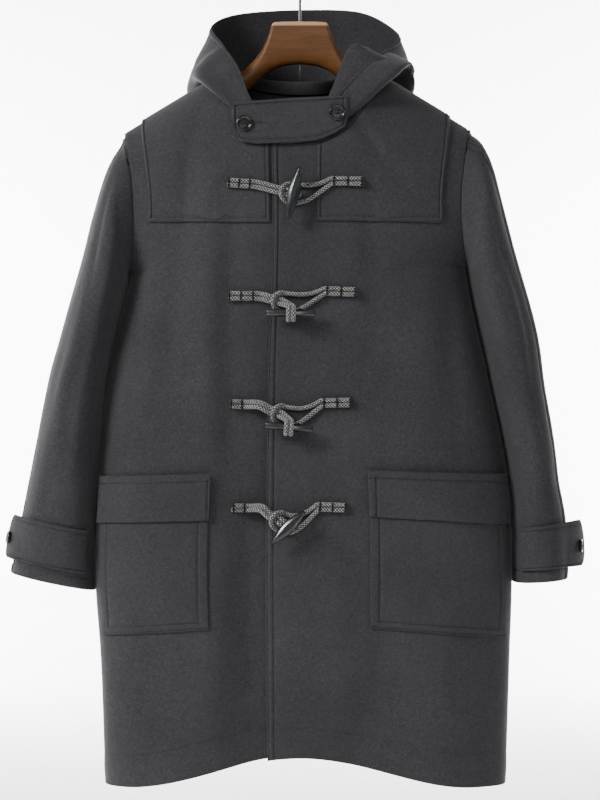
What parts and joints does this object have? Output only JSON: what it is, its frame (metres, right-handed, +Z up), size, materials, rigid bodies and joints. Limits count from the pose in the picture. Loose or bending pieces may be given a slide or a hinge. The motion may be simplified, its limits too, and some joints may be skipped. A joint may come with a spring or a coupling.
{
  "type": "duffle coat and hanger",
  "caption": "Hooded knee-length duffle coat of thick milled wool with rope-and-toggle closures, flapped patch pockets and a throat tab, hung on a contoured wooden hanger.",
  "frame": {"origin": "top of the inside of the hanger's hook, where a rail carries it", "axes": "+Z up, +X to the viewer's right as the coat is seen from the front, the front facing -Y"},
  "size_m": [0.8046, 0.2702, 1.147],
  "materials": {
    "wool": "milled wool, matt with a short soft nap",
    "rope": "braided cotton rope in marled greys",
    "horn": "polished dark horn-like plastic",
    "wood": "stained beech, satin lacquer",
    "steel": "bright plated wire"
  },
  "bodies": {
    "root": {"front_left": "wool", "front_right": "wool", "back": "wool", "yoke_front_left": "wool", "yoke_front_right": "wool", "yoke_back": "wool", "pocket_left": "wool", "pocket_right": "wool", "pocket_flap_left": "wool", "pocket_flap_right": "wool", "sleeve_front_left": "wool", "sleeve_back_left": "wool", "sleeve_front_right": "wool", "sleeve_back_right": "wool", "hood_left": "wool", "hood_right": "wool", "throat_tab": "wool", "cuff_tab_left": "wool", "cuff_tab_right": "wool", "rope_left_1": "rope", "rope_left_2": "rope", "rope_left_3": "rope", "rope_left_4": "rope", "rope_right_1": "rope", "rope_right_2": "rope", "rope_right_3": "rope", "rope_right_4": "rope", "toggle_1": "horn", "toggle_2": "horn", "toggle_3": "horn", "toggle_4": "horn", "throat_button_left": "horn", "throat_button_right": "horn", "cuff_button_left": "horn", "cuff_button_right": "horn", "hanger": "wood", "hook": "steel"}
  },
  "joints": []
}
